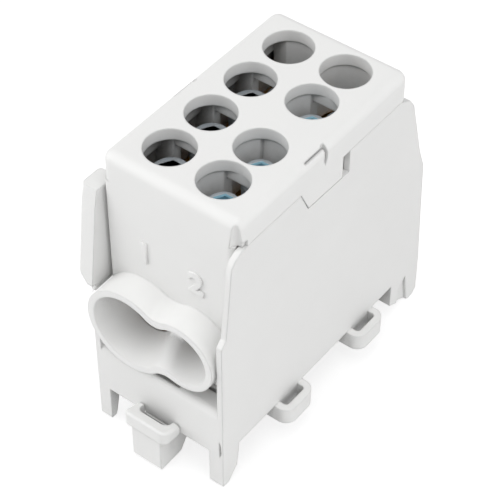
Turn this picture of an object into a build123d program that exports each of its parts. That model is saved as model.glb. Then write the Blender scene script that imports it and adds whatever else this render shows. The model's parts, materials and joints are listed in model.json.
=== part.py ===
"""Two-way power distribution block for a 35 mm rail: base, cover, brass body, set screws and rail latch.

Millimetres, +Z up. X runs along the rail and Y across it, with the latch at the front, -Y.
Origin: middle of the rail seat, at the level of the side plates' lower edge.
Shapes are drawn about the middle of the screw pattern and placed on the rail as they are saved.
"""

from build123d import *
import math
import os

os.makedirs("parts", exist_ok=True)

# Rail and envelope
RAIL_FROM_PATTERN = 0.6
HALF_WIDTH = 11.1
PLATE = 0.9
GAP = 0.12
COVER_TOP = 41.7
COVER_SIDE = 4.7
PARTING = COVER_TOP - COVER_SIDE
PLATE_IN = HALF_WIDTH - PLATE

# Screw pattern
ACCESS_R = 3.55
CELL_R = 3.75
COLUMN_X = 4.5
LEFT_PITCH = 8.38
RIGHT_PITCH = 7.6
RIGHT_GAP = 11.0
SCREW_LENGTH = 12.0
LEFT_SCREW_R = 3.0
RIGHT_SCREW_R = 2.5
SCREW_DEPTH = 4.0
REAR_SCREW_DEPTH = 8.5
THREAD_FIT = 0.05
LEFT_Y = [LEFT_PITCH * (k - 1.5) for k in range(4)]
RIGHT_ROW = ((-1, RIGHT_PITCH), (-1, 0), (1, 0), (1, RIGHT_PITCH))
RIGHT_Y = [side * (RIGHT_GAP / 2 + pitch) for side, pitch in RIGHT_ROW]

# Conductor ways: centres as (x, z)
LEFT_WAY = (-4.55, 15.6)
RIGHT_WAY = (4.3, 16.7)
LEFT_BORE_R = 3.7
RIGHT_BORE_R = 3.2
LEFT_WAY_R = 3.5
RIGHT_WAY_R = 2.95
LEFT_LIP_R = 6.9
RIGHT_LIP_R = 5.6
LIP_WALL = 1.05
LIP_WAIST_R = 3.0
FUNNEL_REACH = 4.3

# Cover
END_WALL_Y = 18.5
WALL = 1.1
ROOF = 1.9
SIDE_IN = HALF_WIDTH - 2.0
SKIRT_LOW = 9.2
FRONT_WALL_X = PLATE_IN - 0.2
CELL_LOW = 31.6

# Brass body
BODY_X = PLATE_IN - 0.7
BODY_Y = END_WALL_Y - 1.6
BODY_LOW = 8.8
BODY_TOP = 31.2

# Base
PANEL_Y = 22.2
BACK_Y = 25.4
PANEL_TOP = 8.6
FLOOR_LOW = 2.0
FLOOR_TOP = 3.5
LEG_X = HALF_WIDTH - 2.4
LEFT_LEG_X = HALF_WIDTH - 2.0
LEG_LENGTH = 6.3
LEG_BACK_FACE = 18.3
EAR_OUT = HALF_WIDTH + 2.8
EAR_IN = HALF_WIDTH + 0.2
EAR_LOW = 19.2
EAR_TOP = 35.3
EAR_BAND = 24.2
LOOP_REACH = 2.5
LOOP_HEIGHT = 2.8
LOOP_WIDTH = 6.5
LOOP_WALL = 1.15
LOOP_Y = (-7.3, 10.1)
PITCH = HALF_WIDTH + EAR_OUT

# Latch
LATCH_X = 2.7
LATCH_FRONT = 25.5
LATCH_BACK = END_WALL_Y + 0.1
GRIP_LOW = 5.8
TOOTH_Y = 15.4
RIM_X = LATCH_X + 1.0
RIM_WALL = 1.1
BAR_X = 3.2
BAR_LOW = 0.5
BAR_TOP = 1.8
TRACK_X = BAR_X + 0.2
POST_Y = -11.4
BAR_END = 2.0
SPRING_HALF = 1.5
SPRING_WIRE = 0.3


def block(x0, x1, y0, y1, z0, z1):
    """Box between six planes."""
    return Pos((x0 + x1) / 2, (y0 + y1) / 2, (z0 + z1) / 2) * Box(x1 - x0, y1 - y0, z1 - z0)


def plate_x(points, x0, x1):
    """Plate of a (y, z) outline between two x planes."""
    face = make_face(Polyline(*[(x0, y, z) for y, z in points], close=True))
    return extrude(face, amount=x1 - x0, dir=(1, 0, 0))


def plate_y(points, y0, y1):
    """Plate of an (x, z) outline between two y planes."""
    face = make_face(Polyline(*[(x, y0, z) for x, z in points], close=True))
    return extrude(face, amount=y1 - y0, dir=(0, 1, 0))


def rod_z(x, y, r, z0, z1):
    """Upright round rod."""
    return Pos(x, y, (z0 + z1) / 2) * Cylinder(r, z1 - z0)


def rod_y(centre, y0, y1, r0, r1=None):
    """Round rod along Y, or a cone that has radius r0 at y0 and r1 at y1."""
    place = Pos(centre[0], (y0 + y1) / 2, centre[1]) * Rot(-90, 0, 0)
    if r1 in (None, r0):
        return place * Cylinder(r0, y1 - y0)
    return place * Cone(r0, r1, y1 - y0)


def both_sides(shape):
    """The shape and its mirror image on the other side."""
    return shape + mirror(shape, about=Plane.YZ)


def both_ends(shape):
    """The shape and its mirror image at the other end."""
    return shape + mirror(shape, about=Plane.XZ)


def save(shape, node):
    """Place one sub-part on the rail and write it."""
    export_step(Pos(0, -RAIL_FROM_PATTERN, 0) * shape, f"parts/{node}.step")
    print(node, round(shape.volume, 1), len(shape.solids()))


def waist(y, left_r, right_r, waist_r):
    """Face between the two lobes at one y, its upper and lower edges hollowed with waist_r."""
    left, right = Vector(LEFT_WAY[0], y, LEFT_WAY[1]), Vector(RIGHT_WAY[0], y, RIGHT_WAY[1])
    along = (right - left).normalized()
    up = Vector(-along.Z, 0, along.X)
    span = (right - left).length
    reach = (span ** 2 + (left_r + waist_r) ** 2 - (right_r + waist_r) ** 2) / (2 * span)
    rise = math.sqrt((left_r + waist_r) ** 2 - reach ** 2)
    hollows, ends = [], []
    for side in (1, -1):
        centre = left + along * reach + up * (side * rise)
        on_left = left + (centre - left).normalized() * left_r
        on_right = right + (centre - right).normalized() * right_r
        middle = centre + ((on_left - centre) + (on_right - centre)).normalized() * waist_r
        hollows.append(ThreePointArc(on_left, middle, on_right))
        ends.append((on_left, on_right))
    sides = [Line(ends[0][k], ends[1][k]) for k in (0, 1)]
    return make_face(Wire(hollows + sides))


def lobes(y0, y1, left, right):
    """A cone on each conductor way, given as (radius at y0, radius at y1)."""
    return rod_y(LEFT_WAY, y0, y1, *left) + rod_y(RIGHT_WAY, y0, y1, *right)


def funnel():
    """Front funnel: its waist is tight at the lip and widens towards the wall."""
    lip_y = -END_WALL_Y - FUNNEL_REACH
    root_y = -END_WALL_Y + 0.4
    shape = lobes(lip_y, root_y, (LEFT_LIP_R, LEFT_LIP_R), (RIGHT_LIP_R, RIGHT_LIP_R))
    ends = (lip_y, LIP_WAIST_R), (root_y, 1.6 * LIP_WAIST_R)
    return shape + loft([waist(y, LEFT_LIP_R, RIGHT_LIP_R, waist_r) for y, waist_r in ends])


def funnel_inside():
    """Inside of the front funnel: one mouth that narrows and parts into the two conductor ways."""
    lip_y = -END_WALL_Y - FUNNEL_REACH
    part_y = lip_y + 4.2
    end_y = -BODY_Y - 0.1
    share = (part_y - lip_y) / (end_y - lip_y)
    ends = (LEFT_LIP_R - LIP_WALL, LEFT_WAY_R), (RIGHT_LIP_R - LIP_WALL, RIGHT_WAY_R)
    parts = [wide + (narrow - wide) * share for wide, narrow in ends]
    mouth = lobes(lip_y, end_y, *ends)
    mouth += loft([waist(lip_y, ends[0][0], ends[1][0], LIP_WAIST_R), waist(part_y, *parts, 2.0)])
    for way, end in zip((LEFT_WAY, RIGHT_WAY), ends):
        mouth += rod_y(way, end_y - 0.1, end_y + 0.5, end[1])
    return mouth


def funnel_room():
    """Room that the base leaves round the front funnel."""
    room = rod_y(LEFT_WAY, -LATCH_FRONT, -END_WALL_Y + WALL, LEFT_LIP_R + 0.35)
    return room + rod_y(RIGHT_WAY, -LATCH_FRONT, -END_WALL_Y + WALL, RIGHT_LIP_R + 0.35)


def plate_outline():
    """Side plate outline as (y, z), front edge first."""
    top = PARTING
    return [
        (-16.6, top), (-18.1, top - 0.2), (-19.3, top - 0.8), (-20.0, top - 1.8), (-20.3, top - 5.0),
        (-21.2, top - 13.7), (-PANEL_Y, top - 14.7), (-PANEL_Y, 0), (BACK_Y, 0),
        (BACK_Y - 1.1, 20.4), (BACK_Y - 2.4, 23.9), (20.3, top - 2.7), (19.2, top - 1.1), (17.0, top),
    ]


def snap_tongue(grow=0.0):
    """Cover tongue that drops over the side plate, or the notch that takes it, grown all round."""
    return [
        (-5.6 - grow, PARTING + 1), (-5.6 - grow, PARTING), (-3.9 - grow, PARTING - 3.4 - grow),
        (3.6 + 15 * grow, PARTING - 3.6 - grow), (3.6 + 15 * grow, PARTING + 1),
    ]


def front_legs():
    """Front legs beside the rail's edge; the left one is slimmer."""
    right = [(-PANEL_Y, 0.6), (-PANEL_Y, -LEG_LENGTH), (-20.9, -LEG_LENGTH), (-19.1, -4.3), (-18.5, 0.6)]
    left = [(-PANEL_Y, 0.6), (-PANEL_Y, -LEG_LENGTH), (-21.3, -LEG_LENGTH), (-21.0, -5.6), (-19.8, 0.6)]
    return plate_x(right, LEG_X, HALF_WIDTH) + plate_x(left, -HALF_WIDTH, -LEFT_LEG_X)


def rear_leg():
    """Right rear leg, hollow on its outer side."""
    outline = [
        (LEG_BACK_FACE, 0.6), (LEG_BACK_FACE, -4.2), (BACK_Y - 1.8, -LEG_LENGTH - 0.6),
        (BACK_Y - 0.8, -LEG_LENGTH - 0.6), (BACK_Y, -LEG_LENGTH + 0.3), (BACK_Y, 0.6),
    ]
    leg = plate_x(outline, LEG_X, HALF_WIDTH)
    hollow = [(22.1, -0.8), (23.0, -LEG_LENGTH - 1), (20.0, -LEG_LENGTH - 1), (20.4, -2.4)]
    return leg - plate_x(hollow, HALF_WIDTH - 0.45, HALF_WIDTH + 1)


def rail_hook():
    """Fixed hook between the rear legs that catches the rail's rear edge."""
    tip_y = LEG_BACK_FACE - 1.9
    hook = plate_x(
        [(LEG_BACK_FACE, FLOOR_TOP), (LEG_BACK_FACE, -1.2), (tip_y, -1.2), (tip_y, -1.9),
         (LEG_BACK_FACE - 0.3, -3.6), (LEG_BACK_FACE + 1.9, -4.6), (LEG_BACK_FACE + 1.9, FLOOR_TOP)],
        -LEG_X, LEG_X)
    cheek = block(LEG_X - 1.0, LEG_X + 0.2, LEG_BACK_FACE + 0.4, BACK_Y - 0.6, -4.0, FLOOR_LOW)
    return hook + both_sides(cheek)


def floor_and_track():
    """Floor with ribs that reach the rail, and the track of the latch bar."""
    floor = block(-PLATE_IN, PLATE_IN, -PANEL_Y + 1, BACK_Y - 1, FLOOR_LOW, FLOOR_TOP)
    track = block(TRACK_X, TRACK_X + 1.0, -PANEL_Y + 1, 6.0, 0, FLOOR_LOW)
    track += block(TRACK_X - 0.6, TRACK_X, -16.5, BAR_END, 0, BAR_LOW - 0.15)
    for y in (-17.6, -8.8, 0.0, 8.8):
        track += block(TRACK_X, PLATE_IN, y - 0.5, y + 0.5, 0, FLOOR_LOW)
    floor += both_sides(track)
    floor += block(-1.6, 1.6, POST_Y - 0.6, POST_Y + 0.6, BAR_LOW + 0.1, FLOOR_LOW)
    for y in (5.5, 16.4):
        floor += block(-PLATE_IN, PLATE_IN, y - 0.5, y + 0.5, 0, FLOOR_LOW)
    for y in (-9.0, 0.0, 9.0):
        floor += block(-BODY_X, BODY_X, y - 0.6, y + 0.6, FLOOR_TOP, BODY_LOW)
    return floor


def end_panels():
    """Lower front panel with its rounded ledge, and the plainer rear panel."""
    front = block(-HALF_WIDTH, PLATE_IN + 0.3, -PANEL_Y, -END_WALL_Y + 0.1, 0, PANEL_TOP)
    front = fillet(front.edges().filter_by(Axis.X).group_by(Axis.Z)[-1].sort_by(Axis.Y)[0], 1.1)
    front -= block(-PLATE_IN, PLATE_IN, -END_WALL_Y - 0.7, -END_WALL_Y, 5.0, PANEL_TOP + 1)
    front -= block(-BODY_X, 3.2, -PANEL_Y + 0.75, -END_WALL_Y - 0.3, 6.8, PANEL_TOP + 1)
    front -= block(-PLATE_IN, PLATE_IN, -PANEL_Y + WALL, -END_WALL_Y + 1, -1, 5.4)
    rear = block(-PLATE_IN, PLATE_IN, END_WALL_Y - 0.1, BACK_Y - 0.4, 0, PANEL_TOP)
    rear -= block(-PLATE_IN, PLATE_IN, END_WALL_Y - 1, BACK_Y - 0.4 - WALL, -1, 7.4)
    inner = block(-PLATE_IN, PLATE_IN, -END_WALL_Y, -END_WALL_Y + 1.0, FLOOR_LOW, PANEL_TOP)
    return front + rear + both_ends(inner)


def loop(y):
    """Belt loop at the right plate's lower edge, with a slot for the next block's tongue."""
    out = HALF_WIDTH + LOOP_REACH
    y0, y1 = y - LOOP_WIDTH / 2, y + LOOP_WIDTH / 2
    shape = block(PLATE_IN - 0.9, out, y0, y1, -LOOP_HEIGHT, 0)
    shape = fillet(shape.edges().filter_by(Axis.Z).group_by(Axis.X)[-1], 1.8)
    slot = block(HALF_WIDTH + 0.02, out - LOOP_WALL, y0 + LOOP_WALL, y1 - LOOP_WALL, -LOOP_HEIGHT - 1, 1)
    slot = fillet(slot.edges().filter_by(Axis.Z).group_by(Axis.X)[-1], 0.5)
    shape -= slot
    return shape + block(PLATE_IN - 1.3, PLATE_IN + 0.2, y0 + 0.4, y1 - 0.4, -LOOP_HEIGHT, FLOOR_TOP)


def loop_tongue(y):
    """Tongue on the left that drops into the neighbour's loop, one module pitch away."""
    half = LOOP_WIDTH / 2 - LOOP_WALL - 0.3
    x1 = -PITCH + HALF_WIDTH + LOOP_REACH - LOOP_WALL - 0.15
    shape = block(x1 - 0.8, -PLATE_IN, y - half, y + half, 0.35, 1.6)
    return shape + block(x1 - 0.8, x1, y - half, y + half, 0.3 - LOOP_HEIGHT, 1.6)


def ear_outline():
    """Front half of the left wall as (y, z): the tall ear, then the low band up to the middle."""
    return [
        (0, EAR_BAND), (-10.8, EAR_BAND), (-15.7, EAR_TOP), (-19.4, EAR_TOP), (-20.0, EAR_TOP - 3.0),
        (-21.7, EAR_LOW), (0, EAR_LOW),
    ]


def ears():
    """Left wall with an ear at each end, set out from the cover, and the shelf under it."""
    shape = plate_x(ear_outline(), -EAR_OUT, -EAR_IN)
    outer_edges = shape.edges().filter_by(Axis.Y, reverse=True).group_by(Axis.X)[0]
    shape = fillet(outer_edges.sort_by(Axis.Y)[:3], 0.6)
    slope = [(-EAR_OUT - 1, EAR_LOW + 2.8), (-EAR_IN - 0.9, EAR_LOW), (-EAR_OUT - 1, EAR_LOW - 1)]
    shape -= plate_y(slope, -BACK_Y, 1)
    third = (EAR_OUT - EAR_IN) / 3
    shape -= block(-EAR_OUT + third, -EAR_IN - third, -18.4, -1.0, EAR_LOW - 1, EAR_BAND - 1.2)
    shelf = block(-EAR_IN - 0.8, -PLATE_IN, -END_WALL_Y + WALL, 0, EAR_LOW - 1.4, EAR_LOW - 0.4)
    shelf += block(-EAR_IN - 0.8, -EAR_IN, -21.0, 0, EAR_LOW - 1.4, EAR_LOW + 0.5)
    return both_ends(shape + shelf)


def side_plate():
    """Right side plate with the notch for the cover's tongue and the recess for its barb."""
    plate = plate_x(plate_outline(), PLATE_IN, HALF_WIDTH)
    plate -= plate_x(snap_tongue(0.1), PLATE_IN - 1, HALF_WIDTH + 1)
    return plate - block(PLATE_IN - 1, PLATE_IN + 0.5, -3.2, 3.2, PARTING - 6.7, PARTING - 4.9)


def base_housing():
    """Base: side plates, end panels, floor, legs, rail hook, loops, tongues and ear."""
    low_left = plate_x(plate_outline(), -HALF_WIDTH, -PLATE_IN)
    low_left &= block(-HALF_WIDTH, -PLATE_IN, -BACK_Y, BACK_Y, -1, EAR_LOW - 0.4)
    base = side_plate() + low_left + ears() + floor_and_track() + end_panels()
    base += front_legs() + both_sides(rear_leg()) + rail_hook()
    for y in LOOP_Y:
        base += loop(y)
        base += loop_tongue(y)
    base -= both_ends(funnel_room())
    slit = plate_y(
        [(10.5, -0.4), (10.85, 1.0), (10.75, 2.2), (10.5, 3.2), (10.45, 1.6)], -PANEL_Y - 1, -PANEL_Y + 0.3)
    return base - slit


def cells():
    """Screw cells below the roof: a fluted middle wall, cross ribs and corner posts."""
    high = COVER_TOP - ROOF + 0.01
    middle = block(-2.4, 2.2, -END_WALL_Y + WALL - 0.1, END_WALL_Y - WALL + 0.1, CELL_LOW, high)
    middle += block(0, 7.0, -1.9, 1.9, CELL_LOW, high)
    middle += block(-SIDE_IN, SIDE_IN, 15.4, END_WALL_Y - WALL + 0.1, CELL_LOW, high)
    for x, rows in ((-COLUMN_X, LEFT_Y), (COLUMN_X, RIGHT_Y)):
        for y in rows:
            middle -= rod_z(x, y, CELL_R, CELL_LOW - 1, high - 0.01)
    ribs = None
    for k in (-1, 0, 1):
        rib = block(-SIDE_IN - 0.1, -1.0, k * LEFT_PITCH - 0.4, k * LEFT_PITCH + 0.4, high - 1.65, high)
        rib += block(-SIDE_IN - 0.9, -6.9, k * LEFT_PITCH - 0.7, k * LEFT_PITCH + 0.7, CELL_LOW, high)
        ribs = rib if ribs is None else ribs + rib
    for side in (-1, 1):
        y = side * (RIGHT_GAP + RIGHT_PITCH) / 2
        ribs += block(1.0, SIDE_IN + 0.1, y - 0.25, y + 0.25, high - 1.65, high)
        ribs += block(7.2, SIDE_IN + 0.9, y - 0.7, y + 0.7, CELL_LOW, high)
    return middle + ribs


def cover_hood():
    """Upper part of the cover down to the parting line, with soft outer edges."""
    hood = block(-HALF_WIDTH, HALF_WIDTH, -END_WALL_Y, END_WALL_Y, PARTING, COVER_TOP)
    hood = fillet(hood.edges().filter_by(Axis.Z) + hood.faces().sort_by(Axis.Z)[-1].edges(), 1.5)
    end_in = END_WALL_Y - WALL
    return hood - block(-SIDE_IN, SIDE_IN, -end_in, end_in, PARTING - 1, COVER_TOP - ROOF)


def cover_walls():
    """End walls between the side plates, the left wall inside the ear and the snap tongues."""
    left_x = -FRONT_WALL_X - 0.9
    high = PARTING + 0.1
    end = block(left_x, FRONT_WALL_X, -END_WALL_Y, -END_WALL_Y + WALL, SKIRT_LOW, high)
    end = fillet(end.edges().filter_by(Axis.Z).group_by(Axis.Y)[0], 0.8)
    end -= block(-HALF_WIDTH, -FRONT_WALL_X, -BACK_Y, 0, 0, EAR_LOW)
    left = block(left_x, -FRONT_WALL_X, -END_WALL_Y + 0.8, END_WALL_Y - 0.8, EAR_LOW + 0.2, high)
    skirt = block(PLATE_IN - GAP - 0.5, PLATE_IN - GAP, -6.4, 6.4, PARTING - 6.6, PARTING + 1.0)
    barb = plate_y(
        [(PLATE_IN - 0.3, PARTING - 6.6), (PLATE_IN - 0.1, PARTING - 6.6), (PLATE_IN + 0.35, PARTING - 5.7),
         (PLATE_IN + 0.35, PARTING - 5.0), (PLATE_IN - 0.3, PARTING - 5.0)], -3.0, 3.0)
    tongue = plate_x(snap_tongue(), PLATE_IN - GAP - 0.1, HALF_WIDTH)
    tongue &= block(0, HALF_WIDTH + 1, -10, 10, 0, high)
    left_tongue = mirror(tongue, about=Plane.YZ)
    return both_ends(end) + left + skirt + barb + tongue + left_tongue


def snap_cuts():
    """Thin line under the roof edge and the slot beside it, which let each tongue flex."""
    line = block(PLATE_IN - 0.3, HALF_WIDTH + 1, -4.4, -0.4, COVER_TOP - 0.6, COVER_TOP - 0.33)
    notch = block(PLATE_IN, HALF_WIDTH + 1, -0.6, -0.05, COVER_TOP - 1.2, COVER_TOP + 1)
    outline = [
        (-0.7, COVER_TOP - 1.1), (-0.75, COVER_TOP - 2.3), (-0.5, COVER_TOP - 3.2), (-0.1, COVER_TOP - 2.3),
        (-0.05, COVER_TOP - 1.1),
    ]
    return line + notch + plate_x(outline, SIDE_IN - 0.1, HALF_WIDTH + 1)


def corner_flute():
    """Round flute that widens downwards at the front right corner, and the rebate above the side plate."""
    middle = (COVER_TOP + PARTING) / 2
    flute = Pos(PLATE_IN + 0.25, -END_WALL_Y + 0.15, middle) * Cone(0.95, 0.3, COVER_SIDE + 0.2)
    rebate_x = HALF_WIDTH - 0.4
    rebate_y = -END_WALL_Y + 1.7
    return flute + block(rebate_x, HALF_WIDTH + 1, rebate_y - 2.7, rebate_y, PARTING - 1, PARTING + 1.1)


def cover():
    """Cover: hood with eight access holes, walls with funnels, snap tongues and screw cells."""
    shape = cover_hood() + cover_walls() + cells() + both_ends(funnel())
    shape -= both_ends(funnel_inside())
    for x, rows in ((-COLUMN_X, LEFT_Y), (COLUMN_X, RIGHT_Y)):
        for y in rows:
            shape -= rod_z(x, y, ACCESS_R, COVER_TOP - ROOF - 0.02, COVER_TOP + 1)
    return shape - both_sides(snap_cuts()) - corner_flute()


def terminal_body():
    """Brass body with two through bores and eight threaded holes."""
    body = block(-BODY_X, BODY_X, -BODY_Y, BODY_Y, BODY_LOW, BODY_TOP)
    body = chamfer(body.edges().filter_by(Axis.Y), 0.8)
    for way, bore_r, x, rows, screw_r in (
        (LEFT_WAY, LEFT_BORE_R, -COLUMN_X, LEFT_Y, LEFT_SCREW_R),
        (RIGHT_WAY, RIGHT_BORE_R, COLUMN_X, RIGHT_Y, RIGHT_SCREW_R),
    ):
        body -= rod_y(way, -BODY_Y - 1, BODY_Y + 1, bore_r)
        for y in rows:
            body -= rod_z(x, y, screw_r + THREAD_FIT, way[1], BODY_TOP + 1)
    return body


def set_screw(x, y, r, top):
    """Set screw with a hexagon socket half its diameter across the flats."""
    socket = RegularPolygon(radius=r / 2, side_count=6, major_radius=False, rotation=30)
    return rod_z(x, y, r, top - SCREW_LENGTH, top) - extrude(Pos(x, y, top - r) * socket, amount=2 * r)


def latch_rim():
    """Rim round the screwdriver pocket: a lip that falls towards the panel and is open there."""
    front, back = -LATCH_FRONT - 0.25, -PANEL_Y - 0.2
    rim = plate_x([(front, 0.4), (front, 2.9), (back, 1.6), (back, -0.1)], -RIM_X, RIM_X)
    rim = fillet(rim.edges().filter_by(Axis.X, reverse=True).group_by(Axis.Y)[0].filter_by(Axis.Z), 1.0)
    return chamfer(rim.faces().sort_by(Axis.Z)[-1].edges().sort_by(Axis.Y)[:-1], 0.4)


def rail_latch():
    """Sliding latch: grip with a screwdriver pocket, rail tooth and the bar that runs in the track."""
    front, back = -LATCH_FRONT, -LATCH_BACK
    outline = [
        (front, 1.0), (front, 0.2 - GRIP_LOW), (front + 0.2, -GRIP_LOW), (back - 2.5, 0.1 - GRIP_LOW),
        (back - 1.3, 1.8 - GRIP_LOW), (back, 2.3 - GRIP_LOW), (-TOOTH_Y - 0.5, -2.4), (-TOOTH_Y, -2.0),
        (-TOOTH_Y, -1.2), (back + 1.4, -1.2), (back + 1.4, BAR_TOP), (back, BAR_TOP), (back, -0.25),
        (-PANEL_Y - 0.2, -0.25), (-PANEL_Y - 0.2, 0.9),
    ]
    latch = plate_x(outline, -LATCH_X, LATCH_X)
    latch = chamfer(latch.edges().filter_by(Axis.Z).group_by(Axis.Y)[0].sort_by(Axis.X)[0], 0.4)
    pocket = block(RIM_WALL - RIM_X, RIM_X - RIM_WALL, front + 1.5, -PANEL_Y + 1, -3.6, 4.0)
    pocket = fillet(pocket.edges().filter_by(Axis.Z).group_by(Axis.Y)[0], 1.0)
    pocket &= block(-RIM_X, RIM_X, front, -PANEL_Y - 0.15, -5, 5)
    bar = block(-BAR_X, BAR_X, back, BAR_END, BAR_LOW, BAR_TOP)
    window_x = SPRING_HALF + 0.4
    bar -= block(-window_x, window_x, back + 4.0, BAR_END - 1.5, 0, BAR_TOP + 1)
    return latch + latch_rim() - pocket + bar


def latch_spring():
    """Flat zigzag return spring between the track's post and the bar's end."""
    y0, y1, bends = POST_Y + 0.6, BAR_END - 1.5, 7
    step = (y1 - y0 - SPRING_WIRE) / (bends - 1)
    corners = [((-1) ** k * SPRING_HALF, y0 + SPRING_WIRE / 2 + k * step) for k in range(bends)]
    spring = None
    for (xa, ya), (xb, yb) in zip(corners, corners[1:]):
        turn = math.degrees(math.atan2(yb - ya, xb - xa))
        leg = Pos((xa + xb) / 2, (ya + yb) / 2, (BAR_LOW + BAR_TOP) / 2) * Rot(0, 0, turn)
        leg = leg * Box(math.hypot(xb - xa, yb - ya) + SPRING_WIRE / 2, SPRING_WIRE, 0.9)
        spring = leg if spring is None else spring + leg
    return spring & block(-SPRING_HALF - 0.35, SPRING_HALF + 0.35, y0, y1, 0, BAR_TOP + 1)


save(base_housing(), "base_housing")
save(cover(), "cover")
save(terminal_body(), "terminal_body")
number = 1
for column, rows, radius in ((-COLUMN_X, LEFT_Y, LEFT_SCREW_R), (COLUMN_X, RIGHT_Y, RIGHT_SCREW_R)):
    for row in rows:
        depth = REAR_SCREW_DEPTH if row == rows[-1] else SCREW_DEPTH
        save(set_screw(column, row, radius, COVER_TOP - depth), f"clamping_screw_{number}")
        number += 1
save(rail_latch(), "rail_latch")
save(latch_spring(), "latch_spring")
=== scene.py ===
"""Dresses the rail-mounted distribution block: finishes, screws, spring, numbers, studio and camera."""

import json
import logging
import math
from dataclasses import dataclass, field
from enum import Enum

import bmesh
import bpy
from mathutils import Euler, Matrix, Vector

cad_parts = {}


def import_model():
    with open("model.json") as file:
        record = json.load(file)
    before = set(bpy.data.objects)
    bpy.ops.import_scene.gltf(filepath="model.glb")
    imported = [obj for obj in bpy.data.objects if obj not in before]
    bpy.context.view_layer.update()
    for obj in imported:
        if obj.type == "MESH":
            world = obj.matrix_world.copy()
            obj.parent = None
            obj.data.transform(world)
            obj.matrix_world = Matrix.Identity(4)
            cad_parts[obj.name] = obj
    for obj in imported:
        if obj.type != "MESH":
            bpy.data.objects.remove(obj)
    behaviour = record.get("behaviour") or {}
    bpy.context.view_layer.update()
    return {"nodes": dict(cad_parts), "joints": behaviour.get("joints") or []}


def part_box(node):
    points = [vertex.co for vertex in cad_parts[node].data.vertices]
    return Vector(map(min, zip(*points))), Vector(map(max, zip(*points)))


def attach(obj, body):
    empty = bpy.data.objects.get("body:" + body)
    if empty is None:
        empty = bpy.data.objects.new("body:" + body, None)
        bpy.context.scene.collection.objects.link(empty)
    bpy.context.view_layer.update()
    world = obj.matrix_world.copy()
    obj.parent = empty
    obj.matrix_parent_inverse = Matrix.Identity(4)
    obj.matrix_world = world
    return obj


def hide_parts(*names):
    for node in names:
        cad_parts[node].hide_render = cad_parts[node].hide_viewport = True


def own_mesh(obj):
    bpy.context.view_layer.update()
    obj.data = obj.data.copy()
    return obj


LOG = logging.getLogger("distribution_block")
MM = 0.001
# corners and heights nearer than this, in metres, count as the same
NEAR = 1e-7
# the CAD nodes' loose triangles are joined at corners nearer than this, in metres
CAD_WELD = 1e-6
# a hexagon's size across its flats is this many times its corner radius
FLATS_PER_CORNER = math.sqrt(3)
# the colour sockets of a Mix node, which share their names with others
COLOUR_A = 6
COLOUR_B = 7
COLOUR_OUT = 2


class Finish(Enum):
    """The surfaces that the block is made of, by the record's slot names where it has them."""

    COVER = "cover_plastic"
    BASE = "base_plastic"
    BRASS = "brass"
    ZINC = "zinc_steel"
    SPRING = "spring_steel"
    BLUE = "zinc_steel_blue"


def linear(hex_colour: str) -> tuple[float, float, float, float]:
    """Turn an sRGB hex colour to linear light.

    Args:
        hex_colour: Six hex digits.

    Returns:
        Red, green, blue and an alpha of 1.
    """
    out = []
    for k in (0, 2, 4):
        v = int(hex_colour[k:k + 2], 16) / 255
        # the sRGB curve: straight near black, and a power above
        out.append(v / 12.92 if v <= 0.04045 else ((v + 0.055) / 1.055) ** 2.4)
    return out[0], out[1], out[2], 1.0


def node(tree: bpy.types.NodeTree, kind: str, settings: dict[str | int, object] | None = None,
         links: dict[str | int, bpy.types.NodeSocket] | None = None) -> bpy.types.Node:
    """Add a node with its settings and links.

    Args:
        tree: The node tree.
        kind: The node's type name.
        settings: Values by attribute name, or by input socket name or number.
        links: Output sockets to connect, by input socket name or number.

    Returns:
        The new node.
    """
    made = tree.nodes.new(kind)
    for name, value in (settings or {}).items():
        if isinstance(name, int) or name in made.inputs:
            made.inputs[name].default_value = value
        else:
            setattr(made, name, value)
    for name, socket in (links or {}).items():
        tree.links.new(socket, made.inputs[name])
    return made


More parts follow.
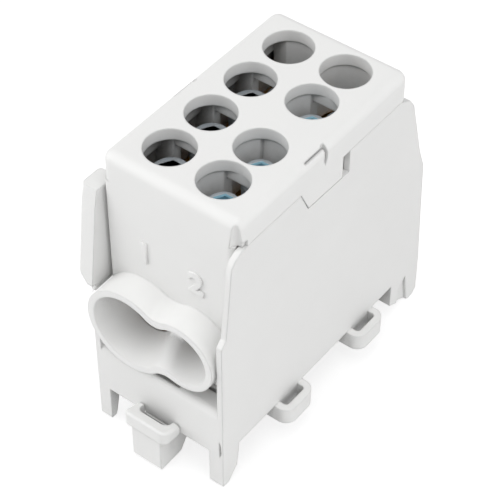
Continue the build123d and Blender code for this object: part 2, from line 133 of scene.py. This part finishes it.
@dataclass(frozen=True)
class MouldedPlastic:
    """Glass-filled polyamide from a spark-eroded mould: matt, pale grey, with a faint fine grain."""

    name: str
    colour: str
    shade: str
    # the colour of the painted shade at the bottom of hollows
    painted_shade_colour: str = "4A4846"
    roughness: float = 0.46
    # how far the roughness wanders to each side
    smoother: float = 0.04
    rougher: float = 0.06
    ior: float = 1.53
    specular: float = 0.42
    flow_mm: float = 9.0
    grain_mm: float = 0.35
    grain_depth_mm: float = 0.006
    grain_strength: float = 0.35
    edge_mm: float = 0.34
    edge_samples: int = 6
    # walls within this distance count towards a hollow's painted shade
    painted_shade_reach_mm: float = 22.0
    painted_shade_samples: int = 12
    # a spot with this share of open sky above it gets no painted shade
    lit_above: float = 0.16
    # any other spot starts to lose its painted shade at this share of free air before it
    free_from: float = 0.6

    def build(self) -> bpy.types.Material:
        """Make the material.

        Returns:
            The material.
        """
        material = bpy.data.materials.new(self.name)
        material.use_nodes = True
        tree = material.node_tree
        tree.nodes.clear()
        where = node(tree, "ShaderNodeTexCoord").outputs["Object"]
        # slow flow of the melt: a barely visible change of tone
        flow = node(tree, "ShaderNodeTexNoise", {"Scale": 1 / (self.flow_mm * MM), "Detail": 2.0},
                    {"Vector": where})
        tone = node(tree, "ShaderNodeMix",
                    {"data_type": "RGBA", COLOUR_A: linear(self.shade), COLOUR_B: linear(self.colour)},
                    {"Factor": flow.outputs["Fac"]})
        # painted shade darkens the grey where neither light from above nor free air gets in: funnel and
        # wells
        reach = {"samples": self.painted_shade_samples, "only_local": True, "Distance": self.painted_shade_reach_mm * MM}
        upward = node(tree, "ShaderNodeCombineXYZ", {"Z": 1.0})
        above = node(tree, "ShaderNodeAmbientOcclusion", reach, {"Normal": upward.outputs["Vector"]})
        facing = node(tree, "ShaderNodeAmbientOcclusion", reach)
        lit = node(tree, "ShaderNodeMapRange", {"From Max": self.lit_above}, {"Value": above.outputs["AO"]})
        free = node(tree, "ShaderNodeMapRange",
                    {"interpolation_type": "SMOOTHSTEP", "From Min": self.free_from},
                    {"Value": facing.outputs["AO"]})
        most = node(tree, "ShaderNodeMath", {"operation": "MAXIMUM"},
                    {0: lit.outputs["Result"], 1: free.outputs["Result"]})
        painted_shade_tone = node(tree, "ShaderNodeMix", {"data_type": "RGBA", COLOUR_A: linear(self.painted_shade_colour)},
                    {"Factor": most.outputs["Value"], COLOUR_B: tone.outputs[COLOUR_OUT]})
        # spark-eroded grain, drawn coarser than the real 0.05 mm so that it shows
        grain = node(tree, "ShaderNodeTexNoise", {"Scale": 1 / (self.grain_mm * MM), "Detail": 3.0},
                     {"Vector": where})
        # moulded edges are slightly round, which the light picks out
        edge = node(tree, "ShaderNodeBevel", {"samples": self.edge_samples, "Radius": self.edge_mm * MM})
        bump = node(tree, "ShaderNodeBump",
                    {"Strength": self.grain_strength, "Distance": self.grain_depth_mm * MM},
                    {"Height": grain.outputs["Fac"], "Normal": edge.outputs["Normal"]})
        rough = node(tree, "ShaderNodeMapRange",
                     {"To Min": self.roughness - self.smoother, "To Max": self.roughness + self.rougher},
                     {"Value": grain.outputs["Fac"]})
        shader = node(tree, "ShaderNodeBsdfPrincipled",
                      {"IOR": self.ior, "Specular IOR Level": self.specular},
                      {"Base Color": painted_shade_tone.outputs[COLOUR_OUT], "Roughness": rough.outputs["Result"],
                       "Normal": bump.outputs["Normal"]})
        node(tree, "ShaderNodeOutputMaterial", None, {"Surface": shader.outputs["BSDF"]})
        return material


@dataclass(frozen=True)
class MachinedMetal:
    """Metal with turning or milling marks, plated or bare: broken, slightly blotched reflections."""

    name: str
    colour: str
    second: str
    roughness: float
    # how far the roughness wanders to each side
    smoother: float = 0.06
    rougher: float = 0.1
    mark_mm: float = 0.25
    mark_depth_mm: float = 0.004
    mark_strength: float = 0.4
    blotch_mm: float = 2.5
    metallic: float = 1.0
    edge_mm: float = 0.08
    edge_samples: int = 6

    def build(self) -> bpy.types.Material:
        """Make the material.

        Returns:
            The material.
        """
        material = bpy.data.materials.new(self.name)
        material.use_nodes = True
        tree = material.node_tree
        tree.nodes.clear()
        where = node(tree, "ShaderNodeTexCoord").outputs["Object"]
        # the plating's or oxide's thickness wanders, and its colour with it
        blotch = node(tree, "ShaderNodeTexNoise", {"Scale": 1 / (self.blotch_mm * MM), "Detail": 3.0},
                      {"Vector": where})
        tone = node(tree, "ShaderNodeMix",
                    {"data_type": "RGBA", COLOUR_A: linear(self.colour), COLOUR_B: linear(self.second)},
                    {"Factor": blotch.outputs["Fac"]})
        # the tool's marks break up the reflections
        marks = node(tree, "ShaderNodeTexNoise", {"Scale": 1 / (self.mark_mm * MM), "Detail": 2.0},
                     {"Vector": where})
        edge = node(tree, "ShaderNodeBevel", {"samples": self.edge_samples, "Radius": self.edge_mm * MM})
        bump = node(tree, "ShaderNodeBump",
                    {"Strength": self.mark_strength, "Distance": self.mark_depth_mm * MM},
                    {"Height": marks.outputs["Fac"], "Normal": edge.outputs["Normal"]})
        rough = node(tree, "ShaderNodeMapRange",
                     {"To Min": self.roughness - self.smoother, "To Max": self.roughness + self.rougher},
                     {"Value": blotch.outputs["Fac"]})
        shader = node(tree, "ShaderNodeBsdfPrincipled", {"Metallic": self.metallic},
                      {"Base Color": tone.outputs[COLOUR_OUT], "Roughness": rough.outputs["Result"],
                       "Normal": bump.outputs["Normal"]})
        node(tree, "ShaderNodeOutputMaterial", None, {"Surface": shader.outputs["BSDF"]})
        return material


@dataclass(frozen=True)
class WhitePaper:
    """Matt paper under the block: plain white to the camera, apart from the block's soft shadow."""

    name: str = "white_paper"
    colour: str = "F2F2F2"
    shadow_catch: str = "9E9E9E"
    glow: float = 0.76

    def build(self) -> bpy.types.Material:
        """Make the material.

        Returns:
            The material.
        """
        material = bpy.data.materials.new(self.name)
        material.use_nodes = True
        tree = material.node_tree
        tree.nodes.clear()
        path = node(tree, "ShaderNodeLightPath")
        matt = node(tree, "ShaderNodeBsdfDiffuse", {"Color": linear(self.colour)})
        faint = node(tree, "ShaderNodeBsdfDiffuse", {"Color": linear(self.shadow_catch)})
        glow = node(tree, "ShaderNodeEmission", {"Color": linear("FFFFFF"), "Strength": self.glow})
        both = node(tree, "ShaderNodeAddShader", None,
                    {0: faint.outputs["BSDF"], 1: glow.outputs["Emission"]})
        pick = node(tree, "ShaderNodeMixShader", None,
                    {"Fac": path.outputs["Is Camera Ray"], 1: matt.outputs["BSDF"],
                     2: both.outputs["Shader"]})
        node(tree, "ShaderNodeOutputMaterial", None, {"Surface": pick.outputs["Shader"]})
        return material


@dataclass
class FinishShelf:
    """All finishes of the block, made once."""

    made: dict[Finish, bpy.types.Material] = field(default_factory=dict)

    def stock(self) -> None:
        """Make every finish."""
        # almost white and matt; the cover's moulding is a shade lighter than the base's
        cover = MouldedPlastic("polyamide_cover", "E9E9E8", "E5E5E4")
        base = MouldedPlastic("polyamide_base", "E7E7E6", "E3E3E2")
        # warm yellow, bright where the cutter's marks catch the light
        brass = MachinedMetal("milled_brass", "C79A54", "B98745", 0.3)
        # pale blue-grey in small soft blotches, dulled by the plating's film
        zinc = MachinedMetal("zinc_plate", "D3D7DA", "AAB4BC", 0.42, blotch_mm=1.4, metallic=0.75)
        # a matt blue-green film in the sockets, which hides the metal's mirror
        blue = MachinedMetal("blue_passivate", "9CC3D1", "6AA2B8", 0.5, metallic=0.1)
        # an even mid grey with a wire-drawn gleam
        spring = MachinedMetal("spring_wire", "A5A7AB", "8E9196", 0.3)
        self.made[Finish.COVER] = cover.build()
        self.made[Finish.BASE] = base.build()
        self.made[Finish.BRASS] = brass.build()
        self.made[Finish.ZINC] = zinc.build()
        self.made[Finish.BLUE] = blue.build()
        self.made[Finish.SPRING] = spring.build()

    def dress(self, piece: bpy.types.Object, *finishes: Finish) -> None:
        """Give a piece its finishes.

        Args:
            piece: The piece.
            finishes: One finish for each of its material numbers.
        """
        indices = [face.material_index for face in piece.data.polygons] if len(finishes) > 1 else None
        piece.data.materials.clear()
        for finish in finishes:
            piece.data.materials.append(self.made[finish])
        if indices:
            piece.data.polygons.foreach_set("material_index", indices)


@dataclass
class Housing:
    """The moulded base, cover and latch, and the brass body between them, as the frame gives them."""

    nodes: dict[str, bpy.types.Object]
    plain: dict[str, Finish] = field(default_factory=lambda: {
        "base_housing": Finish.BASE,
        "cover": Finish.COVER,
        "terminal_body": Finish.BRASS,
        "rail_latch": Finish.BASE,
    })
    # faces that meet at more than this stay sharp
    crease_degrees: float = 32.0

    def smooth(self, piece: bpy.types.Object) -> None:
        """Shade a node's round faces smoothly and keep its edges.

        Args:
            piece: The CAD node.
        """
        piece.data.polygons.foreach_set("use_smooth", [True] * len(piece.data.polygons))
        weld = piece.modifiers.new("weld", "WELD")
        weld.merge_threshold = CAD_WELD
        split = piece.modifiers.new("edges", "EDGE_SPLIT")
        split.split_angle = math.radians(self.crease_degrees)
        split.use_edge_sharp = False

    def build(self, shelf: FinishShelf) -> list[bpy.types.Object]:
        """Dress the CAD nodes.

        Args:
            shelf: The finishes.

        Returns:
            The dressed nodes.
        """
        done = []
        for name, finish in self.plain.items():
            piece = self.nodes[name]
            shelf.dress(piece, finish)
            self.smooth(piece)
            done.append(piece)
        return done


@dataclass
class ClampingScrews:
    """The eight threaded set screws with hexagon sockets, one in the place of each plain CAD screw."""

    count: int = 8
    pitch_mm: float = 1.0
    tooth_mm: float = 0.5
    # facets in one turn of the thread
    steps: int = 48
    chamfer_mm: float = 0.45
    point_mm: float = 0.9
    socket_flare_mm: float = 0.2
    socket_turn_degrees: float = 30.0
    # the hexagon key's size as a share of the screw's diameter
    key_share: float = 0.5
    # depth and width of the drill's cone at the socket's bottom, as shares of the key's size
    drill_tip: float = 0.18
    tip_width: float = 0.3
    crease_degrees: float = 28.0
    # where root and crest begin and end within one pitch
    root_end: float = 0.12
    crest_from: float = 0.45
    crest_end: float = 0.6
    # turns wound past each end of the thread, to be cut off
    turns_below: int = 2
    turns_above: int = 1

    def thread(self, radius: float, low: float, high: float) -> bmesh.types.BMesh:
        """Wind a right-hand thread between two heights, open at both ends.

        Args:
            radius: Crest radius in metres.
            low: Lower end.
            high: Upper end.

        Returns:
            The thread's surface about the Z axis.
        """
        pitch = self.pitch_mm * MM
        root = radius - self.tooth_mm * MM
        tooth = ((root, 0.0), (root, self.root_end), (radius, self.crest_from), (radius, self.crest_end))
        shape = bmesh.new()
        teeth = math.ceil((high - low) / pitch) + self.turns_below + self.turns_above
        column = []
        for k in range(teeth):
            z = low + (k - self.turns_below) * pitch
            for r, rise in tooth:
                column.append(shape.verts.new((r, 0, z + rise * pitch)))
        edges = [shape.edges.new(pair) for pair in zip(column, column[1:])]
        bmesh.ops.spin(shape, geom=column + edges, cent=(0, 0, 0), axis=(0, 0, 1), angle=math.tau,
                       dvec=(0, 0, pitch / self.steps), steps=self.steps, use_merge=False)
        bmesh.ops.remove_doubles(shape, verts=shape.verts, dist=NEAR)
        for height, up in ((low, -1), (high, 1)):
            everything = shape.verts[:] + shape.edges[:] + shape.faces[:]
            bmesh.ops.bisect_plane(shape, geom=everything, dist=NEAR, plane_co=(0, 0, height),
                                   plane_no=(0, 0, up), clear_outer=True)
        return shape

    @staticmethod
    def step(shape: bmesh.types.BMesh, loop: list[bmesh.types.BMEdge], radius: float,
             height: float) -> tuple[list[bmesh.types.BMEdge], list[bmesh.types.BMFace]]:
        """Extrude a loop of edges to a new radius and height about the Z axis.

        Args:
            shape: The screw so far.
            loop: The edges to extrude.
            radius: Distance of the new corners from the axis.
            height: Their height.

        Returns:
            The new edges at that height, and the faces in between.
        """
        made = bmesh.ops.extrude_edge_only(shape, edges=loop)["geom"]
        for vert in (g for g in made if isinstance(g, bmesh.types.BMVert)):
            flat = Vector((vert.co.x, vert.co.y, 0)).normalized() * radius
            vert.co = (flat.x, flat.y, height)
        faces = [g for g in made if isinstance(g, bmesh.types.BMFace)]
        edges = [g for g in made if isinstance(g, bmesh.types.BMEdge)]
        return [e for e in edges if all(abs(v.co.z - height) < NEAR for v in e.verts)], faces

    def end(self, shape: bmesh.types.BMesh, at: float, to: float, radius: float) -> list[bmesh.types.BMEdge]:
        """Draw the open end of the thread on to a round chamfer.

        Args:
            shape: The screw so far.
            at: Height of the thread's open end.
            to: Height of the chamfer's outer end.
            radius: Radius there.

        Returns:
            The chamfer's round rim.
        """
        loop = [e for e in shape.edges if e.is_boundary and all(abs(v.co.z - at) < NEAR for v in e.verts)]
        return self.step(shape, loop, radius, to)[0]

    def socket(self, shape: bmesh.types.BMesh, rim: list[bmesh.types.BMEdge], across: float,
               top: float) -> None:
        """Sink the hexagon socket into the flat end: a flared mouth, straight walls and the drill's cone.

        Args:
            shape: The screw so far.
            rim: The flat end's outer rim.
            across: Size across the socket's flats.
            top: Height of the flat end.
        """
        flare = self.socket_flare_mm * MM
        turn = Matrix.Rotation(math.radians(self.socket_turn_degrees), 4, "Z")
        place = Matrix.Translation((0, 0, top)) @ turn
        mouth = bmesh.ops.create_circle(shape, cap_ends=False, segments=6, matrix=place,
                                        radius=(across + 2 * flare) / FLATS_PER_CORNER)["verts"]
        # each of the mouth's edges once
        ring = list(dict.fromkeys(e for v in mouth for e in v.link_edges))
        bmesh.ops.bridge_loops(shape, edges=rim + ring)
        cone = across * self.drill_tip
        for width, drop in ((across, flare), (across, across), (across * self.tip_width, across + cone)):
            ring, walls = self.step(shape, ring, width / FLATS_PER_CORNER, top - drop)
            for wall in walls:
                wall.material_index = 1
        floor = bmesh.ops.edgeloop_fill(shape, edges=ring)["faces"]
        for face in floor:
            face.material_index = 1

    def screw(self, number: int) -> bpy.types.Object:
        """Make one screw in the place of its CAD node.

        Args:
            number: The screw's number.

        Returns:
            The screw.
        """
        low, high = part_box(f"clamping_screw_{number}")
        diameter = high.x - low.x
        radius = diameter / 2
        chamfer = self.chamfer_mm * MM
        length = high.z - low.z
        shape = self.thread(radius, chamfer, length - chamfer)
        top = self.end(shape, length - chamfer, length, radius - self.tooth_mm * MM)
        self.socket(shape, top, diameter * self.key_share, length)
        foot = self.end(shape, chamfer, 0.0, radius - self.point_mm * MM)
        bmesh.ops.edgeloop_fill(shape, edges=foot)
        bmesh.ops.translate(shape, verts=shape.verts,
                            vec=((low.x + high.x) / 2, (low.y + high.y) / 2, low.z))
        bmesh.ops.recalc_face_normals(shape, faces=shape.faces)
        mesh = bpy.data.meshes.new(f"set_screw_{number}")
        shape.to_mesh(mesh)
        shape.free()
        mesh.polygons.foreach_set("use_smooth", [True] * len(mesh.polygons))
        mesh.set_sharp_from_angle(angle=math.radians(self.crease_degrees))
        made = bpy.data.objects.new(f"set_screw_{number}", mesh)
        bpy.context.scene.collection.objects.link(made)
        return made

    def build(self, shelf: FinishShelf) -> list[bpy.types.Object]:
        """Make, finish and place the screws.

        Args:
            shelf: The finishes.

        Returns:
            The screws.
        """
        done = []
        for k in range(1, self.count + 1):
            made = self.screw(k)
            shelf.dress(made, Finish.ZINC, Finish.BLUE)
            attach(made, f"screw_{k}")
            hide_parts(f"clamping_screw_{k}")
            done.append(made)
        return done


@dataclass
class ReturnSpring:
    """The flat zigzag spring that draws the latch back."""

    travel: float
    bends: int = 7
    wire_mm: float = 0.3
    bend_radius_mm: float = 0.5
    bend_steps: int = 4

    def ribbon(self) -> bpy.types.Object:
        """Make the spring along the middle of its wire.

        Returns:
            The spring.
        """
        low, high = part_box("latch_spring")
        wire = self.wire_mm * MM
        pitch = (high.y - low.y - wire) / (self.bends - 1)
        reach = (high.x - low.x - wire) / 2
        middle = (high.x + low.x) / 2
        shape = bmesh.new()
        corners = [shape.verts.new((middle + (-1) ** k * reach, low.y + wire / 2 + k * pitch, low.z))
                   for k in range(self.bends)]
        legs = [shape.edges.new(pair) for pair in zip(corners, corners[1:])]
        grown = bmesh.ops.extrude_edge_only(shape, edges=legs)["geom"]
        upper = [g for g in grown if isinstance(g, bmesh.types.BMVert)]
        bmesh.ops.translate(shape, verts=upper, vec=(0, 0, high.z - low.z))
        turns = [e for e in shape.edges if len(e.link_faces) == 2]
        bmesh.ops.bevel(shape, geom=turns, affect="EDGES", offset=self.bend_radius_mm * MM,
                        segments=self.bend_steps, profile=0.5, material=-1)
        mesh = bpy.data.meshes.new("return_spring")
        shape.to_mesh(mesh)
        shape.free()
        made = bpy.data.objects.new("return_spring", mesh)
        bpy.context.scene.collection.objects.link(made)
        wall = made.modifiers.new("wire", "SOLIDIFY")
        wall.thickness = wire
        wall.offset = 0.0
        wall.use_even_offset = True
        return made

    def build(self, shelf: FinishShelf) -> list[bpy.types.Object]:
        """Make and place the spring, which stays with the housing.

        Args:
            shelf: The finishes.

        Returns:
            The spring alone.
        """
        made = self.ribbon()
        shelf.dress(made, Finish.SPRING)
        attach(made, "housing")
        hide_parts("latch_spring")
        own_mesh(made)
        return [made]


@dataclass
class WayNumbers:
    """Raised plain numbers on the front wall, one above each conductor way."""

    height_mm: float = 3.4
    # the font's capitals are this share of its size
    capital: float = 0.725
    stroke_mm: float = 0.15
    relief_mm: float = 0.3
    round_mm: float = 0.1
    round_steps: int = 2
    sunk_mm: float = 0.05
    wall_y_mm: float = 19.1
    # each number with its middle along X and its foot along Z, in millimetres
    ways: tuple[tuple[str, float, float], ...] = (("1", -4.4, 26.0), ("2", 4.2, 25.7))

    def number(self, text: str, x: float, z: float) -> bpy.types.Object:
        """Make one raised number on the front wall.

        Args:
            text: The number.
            x: Its middle along X, across the wall, in millimetres.
            z: Its lower edge, in millimetres.

        Returns:
            The number as a mesh.
        """
        letter = bpy.data.curves.new(f"way_number_{text}", "FONT")
        letter.body = text
        letter.size = self.height_mm * MM / self.capital
        letter.align_x = "CENTER"
        letter.offset = self.stroke_mm * MM
        letter.extrude = ((self.relief_mm + self.sunk_mm) / 2 - self.round_mm) * MM
        letter.bevel_depth = self.round_mm * MM
        letter.bevel_resolution = self.round_steps
        holder = bpy.data.objects.new("letter", letter)
        bpy.context.scene.collection.objects.link(holder)
        bpy.context.view_layer.update()
        graph = bpy.context.evaluated_depsgraph_get()
        mesh = bpy.data.meshes.new_from_object(holder.evaluated_get(graph))
        bpy.data.objects.remove(holder)
        middle_y = -self.wall_y_mm - (self.relief_mm - self.sunk_mm) / 2
        place = Matrix.Translation((x * MM, middle_y * MM, z * MM))
        mesh.transform(place @ Matrix.Rotation(math.radians(90), 4, "X"))
        mesh.name = f"way_number_{text}"
        made = bpy.data.objects.new(f"way_number_{text}", mesh)
        bpy.context.scene.collection.objects.link(made)
        return made

    def build(self, shelf: FinishShelf) -> list[bpy.types.Object]:
        """Make the numbers of the front wall.

        Args:
            shelf: The finishes.

        Returns:
            The numbers.
        """
        done = []
        for text, x, z in self.ways:
            made = self.number(text, x, z)
            shelf.dress(made, Finish.COVER)
            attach(made, "housing")
            done.append(made)
        return done


@dataclass(frozen=True)
class SoftLamp:
    """A square soft light, with its place and edge in metres."""

    name: str
    place: tuple[float, float, float]
    edge: float
    watts: float


@dataclass
class Studio:
    """Floor, lights and the camera at the photograph's viewing angle, placed in metres."""

    eye: tuple[float, float, float] = (0.10459, -0.13921, 0.19362)
    forward: tuple[float, float, float] = (-0.42419, 0.55501, -0.71556)
    roll_degrees: float = 0.15
    lens_mm: float = 128.4
    sensor_mm: float = 36.0
    clip: tuple[float, float] = (0.01, 20.0)
    floor_z: float = -0.0069
    floor_reach: float = 1.5
    # strength of the white surroundings as light on the block; the camera and gloss see them at 1
    surround: float = 0.44
    aim: tuple[float, float, float] = (0.0, 0.0, 0.02)
    lamps: tuple[SoftLamp, ...] = (
        SoftLamp("key", (0.12, -0.18, 0.87), 0.6, 3.6),
        SoftLamp("left", (-0.69, -0.49, 0.31), 0.6, 3.3),
        SoftLamp("side", (0.85, 0.05, 0.3), 0.7, 2.3),
    )

    def camera(self) -> None:
        """Make the camera."""
        data = bpy.data.cameras.new("camera")
        data.lens = self.lens_mm
        data.sensor_width = self.sensor_mm
        data.clip_start, data.clip_end = self.clip
        made = bpy.data.objects.new("camera", data)
        bpy.context.scene.collection.objects.link(made)
        made.location = self.eye
        turn = Vector(self.forward).to_track_quat("-Z", "Y")
        roll = Euler((0, 0, math.radians(self.roll_degrees))).to_quaternion()
        made.rotation_euler = (turn @ roll).to_euler()
        bpy.context.scene.camera = made

    def light(self, lamp: SoftLamp) -> None:
        """Hang one lamp so that it faces the block.

        Args:
            lamp: The lamp.
        """
        data = bpy.data.lights.new(lamp.name, "AREA")
        data.size = lamp.edge
        data.energy = lamp.watts
        made = bpy.data.objects.new(lamp.name, data)
        bpy.context.scene.collection.objects.link(made)
        made.location = lamp.place
        facing = Vector(self.aim) - Vector(lamp.place)
        made.rotation_euler = facing.to_track_quat("-Z", "Y").to_euler()

    def world(self) -> None:
        """White surroundings for the camera and reflections, a softer level for the light."""
        world = bpy.data.worlds.new("studio")
        world.use_nodes = True
        tree = world.node_tree
        tree.nodes.clear()
        path = node(tree, "ShaderNodeLightPath")
        seen = node(tree, "ShaderNodeMath", {"operation": "MAXIMUM"},
                    {0: path.outputs["Is Camera Ray"], 1: path.outputs["Is Glossy Ray"]})
        light = node(tree, "ShaderNodeBackground", {"Color": linear("FFFFFF"), "Strength": self.surround})
        plain = node(tree, "ShaderNodeBackground", {"Color": linear("FFFFFF"), "Strength": 1.0})
        mix = node(tree, "ShaderNodeMixShader", None,
                   {"Fac": seen.outputs["Value"], 1: light.outputs["Background"],
                    2: plain.outputs["Background"]})
        node(tree, "ShaderNodeOutputWorld", None, {"Surface": mix.outputs["Shader"]})
        bpy.context.scene.world = world

    def floor(self) -> None:
        """Make the pale floor, on which the block keeps a soft shadow."""
        mesh = bpy.data.meshes.new("floor")
        shape = bmesh.new()
        bmesh.ops.create_grid(shape, x_segments=1, y_segments=1, size=self.floor_reach,
                              matrix=Matrix.Translation((0, 0, self.floor_z)))
        shape.to_mesh(mesh)
        shape.free()
        made = bpy.data.objects.new("floor", mesh)
        bpy.context.scene.collection.objects.link(made)
        mesh.materials.append(WhitePaper().build())

    def build(self) -> None:
        """Set the whole studio."""
        self.camera()
        self.world()
        for lamp in self.lamps:
            self.light(lamp)
        self.floor()
        bpy.context.scene.view_settings.view_transform = "Standard"


def main() -> None:
    logging.basicConfig(level=logging.INFO)
    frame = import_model()
    shelf = FinishShelf()
    shelf.stock()
    pull = next(joint for joint in frame["joints"] if joint["name"] == "latch_pull")
    spring = ReturnSpring(travel=max(pull["range_m"]))
    for group in (Housing(frame["nodes"]), ClampingScrews(), spring, WayNumbers()):
        for piece in group.build(shelf):
            LOG.info("dressed %s", piece.name)
    Studio().build()


if __name__ == "__main__":
    main()
